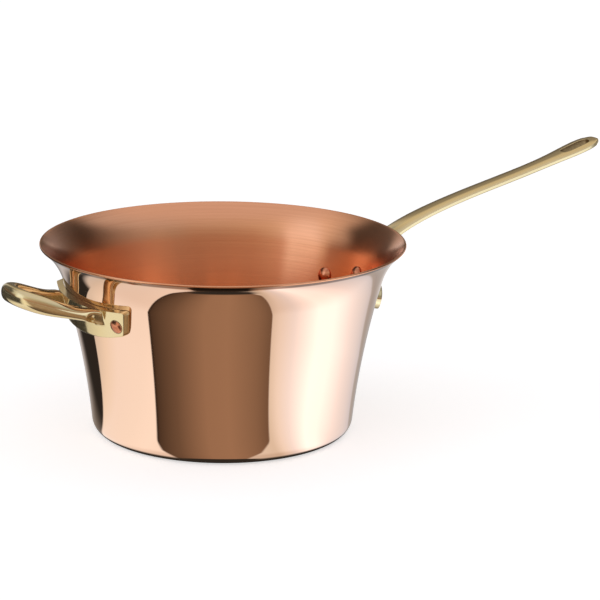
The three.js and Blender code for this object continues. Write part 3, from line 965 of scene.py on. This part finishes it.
def loop_plate_edges(sizes, side):
    """Bottom and top of the plate at a distance to the side."""
    half = sizes.plate_length / 2
    bottom = sizes.rivet_height + bowed(side, -sizes.middle_drop, -sizes.end_drop, half, sizes.bow)
    top = sizes.rivet_height + bowed(side, sizes.middle_rise, sizes.end_rise, half, sizes.bow)
    bottom += corner_inset(side, half, sizes.bottom_corner)
    top -= corner_inset(side, half, sizes.top_corner)
    return bottom, top


def loop_plate(bm, sizes, profile):
    """The plate on the wall. Returns the corners of the two holes where the legs go on."""
    half = sizes.plate_length / 2
    leg = sizes.leg_spacing / 2
    foot = sizes.bar_width / 2
    outer = [half, half - CORNER_STEP, half - sizes.bottom_corner, half - SHOULDER, leg + OUTSIDE_LEG]
    positive = [*outer, *(leg + foot * side for side in LEG_POINTS), leg - INSIDE_LEG]
    columns = [*positive, 0, *(-side for side in reversed(positive))]
    bottom, top = loop_plate_edges(sizes, leg)
    leg_middle = (sizes.rivet_height + sizes.leg_above_rivets - bottom) / (top - bottom)
    leg_half = sizes.leg_root_height / 2 / (top - bottom)
    leg_rows = [leg_middle - leg_half * side for side in LEG_POINTS]
    below = [0, leg_rows[0] * BELOW_LEG]
    levels = [*below, *leg_rows, 1]
    cells, rows = len(columns) - 1, len(levels) - 1
    index_block(bm, cells, rows)
    span = len(LEG_POINTS) - 1

    def in_leg(middle):
        column = min(middle.x, cells - middle.x) - len(outer)
        row = middle.y - len(below)
        return middle.z > 0.99 and 0 < column < span and 0 < row < span

    hole = cut_faces(bm, in_leg)
    rim = rim_edges(bm, cells, rows)
    crease(bm, rim, LONG_EDGE_CREASE)
    crease(bm, [edge for edge in rim if edge.verts[0].co.x == edge.verts[1].co.x], END_CREASE)
    for vert in bm.verts:
        across = columns[round(vert.co.x)]
        level = levels[round(vert.co.y)]
        height = lerp(*loop_plate_edges(sizes, abs(across)), level)
        taper = sizes.end_taper * smoothstep(abs(across), leg + foot, half) * (1 - level)
        across -= copysign(taper, across)
        vert.co = profile.on_wall(across, height, profile.sizes.fit_gap + sizes.plate_thickness * vert.co.z)
    return hole


def loop_handle_mesh(sizes, profile):
    bm = new_casting()
    hole = loop_plate(bm, sizes, profile)
    plate_middle = profile.radius(sizes.rivet_height) + profile.sizes.fit_gap + sizes.plate_thickness / 2
    root_out = sqrt(plate_middle ** 2 - (sizes.leg_spacing / 2) ** 2)
    rings = loft(bm, loop_rings(sizes, root_out, sizes.plate_thickness / 2 + LEG_START))
    for ring, sign in ((rings[0], 1), (rings[-1], -1)):
        root = open_edges(bm, [vert for vert in hole if vert.co.y * sign > 0])
        bmesh.ops.bridge_loops(bm, edges=root + ring_edges(ring))
        crease(bm, root, LEG_CREASE)
    bmesh.ops.rotate(bm, verts=bm.verts[:], matrix=Matrix.Rotation(sizes.turn, 3, "Z"))
    return bm


class BuildLoopHandle(bpy.types.Operator):
    """Model the brass loop handle with its curved plate"""
    bl_idname = "copper_pan.loop_handle"
    bl_label = "Loop handle"

    def execute(self, context):
        settings = context.scene.copper_pan
        bm = loop_handle_mesh(settings.loop_handle, PanProfile(settings.pan))
        brass = shared_brass(settings.finishes)
        piece = finished("brass_loop_handle", bm, [brass], "cast_brass", "loop_handle")
        subdivide(piece)
        return {"FINISHED"}


# Stage

def camera_axes(stage):
    """The camera's right, up and back directions."""
    azimuth, elevation, roll = stage.view_azimuth, stage.view_elevation, stage.view_roll
    back = Vector((sin(azimuth) * cos(elevation), -cos(azimuth) * cos(elevation), sin(elevation)))
    right = Vector((cos(azimuth), sin(azimuth), 0))
    up = back.cross(right)
    return right * cos(roll) + up * sin(roll), up * cos(roll) - right * sin(roll), back


def add_camera(stage):
    data = bpy.data.cameras.new("Photo camera")
    data.lens = stage.lens
    data.clip_end = 50
    camera = bpy.data.objects.new("Photo camera", data)
    bpy.context.collection.objects.link(camera)
    right, up, back = camera_axes(stage)
    turn = Matrix((right, up, back)).transposed().to_4x4()
    camera.matrix_world = Matrix.Translation(Vector(stage.view_target) + back * stage.view_distance) @ turn
    bpy.context.scene.camera = camera


def stage_sheet(name, bm, material):
    """Turn a mesh into a sheet of the stage."""
    mesh = bpy.data.meshes.new(name)
    bm.to_mesh(mesh)
    bm.free()
    mesh.materials.append(material)
    sheet = bpy.data.objects.new(name, mesh)
    bpy.context.collection.objects.link(sheet)
    return sheet


def only_mirrored(sheet):
    """Hide a sheet from all but mirrored rays."""
    sheet.visible_camera = False
    sheet.visible_diffuse = False
    sheet.visible_shadow = False
    sheet.visible_transmission = False


def flat_disc(radius, height):
    bm = bmesh.new()
    bmesh.ops.create_circle(bm, cap_ends=True, segments=96, radius=radius)
    bmesh.ops.translate(bm, verts=bm.verts[:], vec=(0, 0, height))
    return bm


def floor_material(stage):
    """Pale floor that looks white to the camera and keeps the pan's shadow."""
    material, wire = new_finish("pale_floor")
    seen = wire.node("ShaderNodeLightPath", output="Is Camera Ray")
    matt = wire.node("ShaderNodeBsdfDiffuse", None, {"Color": (*stage.floor, 1)})
    glow_colour = seen.mix(BLACK, NEUTRAL * stage.floor_glow)
    glow = wire.node("ShaderNodeEmission", None, {"Color": glow_colour, "Strength": 1.0})
    both = wire.node("ShaderNodeAddShader", None, {0: matt, 1: glow})
    wire.node("ShaderNodeOutputMaterial", None, {"Surface": both})
    return material


# Tints of the studio's light
BLACK = Vector((0, 0, 0))
NEUTRAL = Vector((1, 1, 1))
COOL = Vector((0.93, 1, 1.13))
WARM = Vector((1.04, 1, 0.91))
AMBER = Vector((1.12, 0.97, 0.76))
CLOTH = Vector((1.1, 0.8, 0.6))
TAN = Vector((1.13, 0.93, 0.78))
RUST = Vector((1, 0.6, 0.45))
STEEP = Vector((0.84, 0.79, 0.76))
ZENITH = Vector((0.71, 0.7, 0.75))

# What stands round the pan, by azimuth in degrees as the camera sees it: 0 is right, 90 behind, 180 left and
# 270 in front. Each stop is an azimuth, a brightness and, unless it is neutral, a tint.
TABLE_RING = (
    (0, 1.28, COOL), (5, 1.15, COOL), (13, 1.02, COOL), (24, 0.87, COOL), (32, 0.74, COOL), (35, 0.46),
    (40, 0.42), (60, 0.5), (110, 0.5), (150, 0.6), (175, 0.74, WARM), (186, 0.9, WARM), (198, 1.0),
    (218, 1.03), (232, 1.08), (270, 0.9), (299, 0.75, WARM), (306, 0.96), (316, 1.1, COOL),
    (334, 1.62, COOL), (348, 1.55, COOL), (360, 1.28, COOL),
)
HORIZON_RING = (
    (0, 0.5, COOL), (10, 0.25), (34, 0.3), (52, 0.85), (72, 0.7), (80, 0.1, AMBER), (101, 0.1, AMBER),
    (106, 0.75), (112, 0.62), (119, 0.1), (126, 0.04), (208, 0.04), (217, 0.95, WARM), (226, 1.05, WARM),
    (236, 0.36, CLOTH), (296, 0.36, CLOTH), (306, 1.1, COOL), (340, 1.3, COOL), (354, 1.0, COOL),
    (360, 0.5, COOL),
)
LOW_RING = (
    (0, 0.26, RUST), (15, 0.14, RUST), (30, 0.08, RUST), (50, 0.12), (67, 0.25, COOL), (80, 0.12, AMBER),
    (101, 0.12, AMBER), (106, 0.62), (112, 0.5), (119, 0.1), (145, 0.13, RUST), (160, 0.12, RUST),
    (173, 0.14, RUST), (184, 0.2, RUST), (192, 0.72, WARM), (197, 1.0), (219, 1.0), (227, 0.6, RUST),
    (240, 0.48, RUST), (262, 0.41, RUST), (292, 0.36, RUST), (307, 0.4, RUST), (322, 0.44, RUST),
    (340, 0.38, RUST), (360, 0.26, RUST),
)
MIDDLE_RING = (
    (0, 0.25), (15, 0.14), (30, 0.05), (44, 0.06), (66, 0.18, COOL), (75, 0.5, AMBER), (84, 0.24, AMBER),
    (103, 0.24, AMBER), (108, 0.5, AMBER), (112, 0.45), (119, 0.1), (158, 0.06), (169, 0.52), (178, 0.65),
    (187, 0.8), (194, 1.0, COOL), (199, 1.15, COOL), (219, 1.12, COOL), (226, 0.74), (233, 0.64, WARM),
    (248, 0.47, TAN), (263, 0.42, TAN), (278, 0.385, TAN), (293, 0.385, TAN), (308, 0.38, WARM),
    (323, 0.44, WARM), (338, 0.385), (352, 0.3), (360, 0.25),
)
HIGH_RING = (
    (0, 0.62, COOL), (22, 0.65, COOL), (38, 0.6, COOL), (50, 0.42, COOL), (62, 0.6, AMBER),
    (112, 0.62, AMBER), (128, 0.28), (140, 0.45), (150, 0.6), (165, 0.7), (180, 0.86), (190, 0.98, COOL),
    (204, 1.02, COOL), (218, 0.84), (232, 0.67, WARM), (248, 0.62, WARM), (263, 0.58, WARM), (300, 0.57),
    (322, 0.6, COOL), (345, 0.65, COOL), (360, 0.62, COOL),
)
# Elevations in degrees over which each ring takes over from the one below, and the ceiling from the last.
UPPER_RINGS = ((LOW_RING, 4, 9), (MIDDLE_RING, 10, 27), (HIGH_RING, 32, 42))
CEILING = (44, 60)

# Zones of the mirrored table. Their edges are lines from a start to an end, in metres to the right and away.
LEFT_HEM = ((-0.063, -0.096), (-0.154, -0.157))
RIGHT_HEM = ((0.114, -0.187), (0.050, -0.100))
HEM_CUTS = (((-0.031, -0.087), (-0.060, -0.096)), ((0.056, -0.108), (0.024, -0.092)))
HEM_EDGE = (-0.0015, 0.0015)
GAP_SIDE = ((-0.227, 0.033), (-0.093, -0.029))
GAP_SIDE_EDGE = (-0.002, 0.002)
GAP_END = ((-0.181, 0.119), (-0.148, 0.066))
GAP_END_EDGE = (-0.02, 0.05)
# Light on the cloth from its left hem to its right one.
CLOTH_LIGHT = (
    (0, 0.13), (0.02, 0.13), (0.04, 0.22), (0.23, 0.46), (0.45, 0.95), (0.6, 1.0), (0.84, 0.73), (1, 0.5),
)
# Distances from the axis, in metres, over which a zone starts or ends.
PAN_SHADE_END = (0.0905, 0.0935)
FOOT_SHADE_END = (0.106, 0.114)
TABLE_END = (0.3, 0.45)
BACK_CARD_END = (0.5, 0.7)
# Azimuths in degrees where a sector starts, is full, fades and ends.
FOOT_SHADE = (243, 252, 290, 301)
BACK_CARD = (40, 52, 108, 118)
STRAIGHT_CARDS = (296, 335, 54, 72)
# How near the axis the straight edges of the right-hand cards pass, and where they meet the ring's stops.
CARD_PASSES = 0.088
CARD_MEETS = 0.207
# How low a ray meets the table, from 0 for straight down to 1, where the shade, the cards and the gap change.
FOOT_SHADE_SLANT = (0.03, 0.05)
CARD_SLANT = (0.15, 0.45)
GAP_SLANT = (0.35, 0.41)
# Brightness of the gap, of the shade at and under the pan, and of the card behind.
GAP_LIGHT = 0.025
SHADE_LIGHT = 0.03
BACK_CARD_LIGHT = 0.85


def as_seen(stage, x, y):
    """Distances to the right and away as the camera sees them, and the azimuth as a share of a turn."""
    turn = stage.view_azimuth
    across = x * cos(turn) + y * sin(turn)
    away = y * cos(turn) - x * sin(turn)
    azimuth = x.math("ARCTAN2", away, across)
    return across, away, x.math("FRACT", azimuth / (2 * pi) + 1)


def zones(azimuth, stops):
    """The colours of a ring of stops."""
    shades = []
    for at, brightness, *tint in stops:
        shade = (tint[0] if tint else NEUTRAL) * brightness
        shades.append((at / 360, tuple(shade)))
    return azimuth.ramp(*shades)


def sector(azimuth, start, full, fading, end):
    """One between azimuths in degrees, with soft ends."""
    return azimuth.step(start / 360, full / 360) * (1 - azimuth.step(fading / 360, end / 360))


def past_line(across, away, line):
    """How far a place lies on the left of a line."""
    start, end = line
    along = (Vector(end) - Vector(start)).normalized()
    return (away - start[1]) * along.x - (across - start[0]) * along.y


def straight_cards(azimuth, radius):
    """The azimuth to read the cards at. Those at the right have straight edges that pass beside the axis."""
    nearest = azimuth.math("MINIMUM", CARD_PASSES / radius, 1.0)
    lead = azimuth.math("ARCSINE", nearest) - asin(CARD_PASSES / CARD_MEETS)
    quarter = 90
    from_front = azimuth.math("FRACT", azimuth + quarter / 360)
    on_right = sector(from_front, *((stop + quarter) % 360 for stop in STRAIGHT_CARDS))
    turned = azimuth + on_right * azimuth.math("MAXIMUM", lead, 0.0) / (2 * pi)
    return azimuth.math("FRACT", turned)


def table_material(stage):
    """What the metal mirrors of the table: pale cards, a brown cloth in front and a dark gap at the left."""
    material, wire = new_finish("studio_table")
    x, y = object_parts(wire)[1:3]
    across, away, azimuth = as_seen(stage, x, y)
    radius = (x * x + y * y) ** 0.5
    slant = wire.node("ShaderNodeLayerWeight", None, {"Blend": 0.5}, "Facing")
    cards = zones(straight_cards(azimuth, radius), TABLE_RING)
    near = slant.step(*CARD_SLANT).mix(cards.tinted(STEEP), cards)
    in_gap = past_line(across, away, GAP_SIDE).step(*GAP_SIDE_EDGE)
    in_gap *= 1 - past_line(across, away, GAP_END).step(*GAP_END_EDGE)
    in_gap *= slant.step(*GAP_SLANT)
    near = in_gap.mix(near, WARM * GAP_LIGHT)
    left_hem = past_line(across, away, LEFT_HEM)
    right_hem = past_line(across, away, RIGHT_HEM)
    cloth_light = (left_hem / (left_hem + right_hem)).ramp(*CLOTH_LIGHT)
    in_cloth = left_hem.step(*HEM_EDGE) * right_hem.step(*HEM_EDGE)
    for cut in HEM_CUTS:
        in_cloth *= past_line(across, away, cut).step(*HEM_EDGE)
    near = in_cloth.mix(near, cloth_light.tinted(stage.front_cloth))
    under_pan = 1 - radius.step(*PAN_SHADE_END)
    at_foot = sector(azimuth, *FOOT_SHADE) * (1 - slant.step(*FOOT_SHADE_SLANT))
    at_foot *= 1 - radius.step(*FOOT_SHADE_END)
    for shade in (under_pan, at_foot):
        near = shade.mix(near, WARM * SHADE_LIGHT)
    on_back_card = sector(azimuth, *BACK_CARD) * (1 - radius.step(*BACK_CARD_END))
    far = on_back_card.mix(zones(azimuth, HORIZON_RING), NEUTRAL * BACK_CARD_LIGHT)
    seen = radius.step(*TABLE_END).mix(near, far)
    glow = wire.node("ShaderNodeEmission", None, {"Color": seen, "Strength": 1.0})
    wire.node("ShaderNodeOutputMaterial", None, {"Surface": glow})
    return material


def set_world(stage):
    """White to the camera. The metal sees soft light zones that stand round the pan under a pale ceiling."""
    world = bpy.data.worlds.new("Studio")
    bpy.context.scene.world = world
    world.use_nodes = True
    world.node_tree.nodes.clear()
    wire = Wire(world.node_tree)
    direction = wire.node("ShaderNodeTexCoord", output="Generated")
    x, y, z = (wire.node("ShaderNodeSeparateXYZ", None, {"Vector": direction}, axis) for axis in "XYZ")
    azimuth = as_seen(stage, x, y)[2]

    def above(low, high):
        return z.step(sin(radians(low)), sin(radians(high)))

    mirrored = zones(azimuth, HORIZON_RING)
    for stops, low, high in UPPER_RINGS:
        mirrored = above(low, high).mix(mirrored, zones(azimuth, stops))
    mirrored = above(*CEILING).mix(mirrored, ZENITH)
    seen = wire.node("ShaderNodeLightPath", output="Is Camera Ray")
    light = wire.node("ShaderNodeBackground", None, {"Color": seen.mix(mirrored, NEUTRAL), "Strength": 1.0})
    wire.node("ShaderNodeOutputWorld", None, {"Surface": light})


class BuildStage(bpy.types.Operator):
    """Set up the camera, the floor and the studio light"""
    bl_idname = "copper_pan.stage"
    bl_label = "Stage"

    def execute(self, context):
        stage = context.scene.copper_pan.stage
        context.scene.view_settings.view_transform = "Standard"
        add_camera(stage)
        stage_sheet("pale_floor", flat_disc(radius=12, height=0), floor_material(stage))
        table = stage_sheet("studio_table", flat_disc(radius=6, height=0.0002), table_material(stage))
        only_mirrored(table)
        set_world(stage)
        return {"FINISHED"}


class CopperPanPanel(bpy.types.Panel):
    """Lists the pieces of the pan in the sidebar"""
    bl_idname = "VIEW3D_PT_copper_pan"
    bl_label = "Copper pan"
    bl_space_type = "VIEW_3D"
    bl_region_type = "UI"
    bl_category = "Copper pan"

    def draw(self, context):
        for operator in OPERATORS:
            self.layout.operator(operator.bl_idname)


OPERATORS = (BuildPanBody, BuildLongHandle, BuildLoopHandle, BuildRivets, BuildStage)
CLASSES = (PanSizes, RivetSizes, LongHandleSizes, LoopHandleSizes, Finishes, StageSettings, CopperPanSettings,
           *OPERATORS, CopperPanPanel)


def register():
    for cls in CLASSES:
        bpy.utils.register_class(cls)
    bpy.types.Scene.copper_pan = bpy.props.PointerProperty(type=CopperPanSettings)


def unregister():
    del bpy.types.Scene.copper_pan
    for cls in reversed(CLASSES):
        bpy.utils.unregister_class(cls)


def main():
    register()
    bpy.ops.copper_pan.body()
    bpy.ops.copper_pan.long_handle()
    bpy.ops.copper_pan.loop_handle()
    bpy.ops.copper_pan.rivets()
    bpy.ops.copper_pan.stage()


if __name__ == "__main__":
    main()
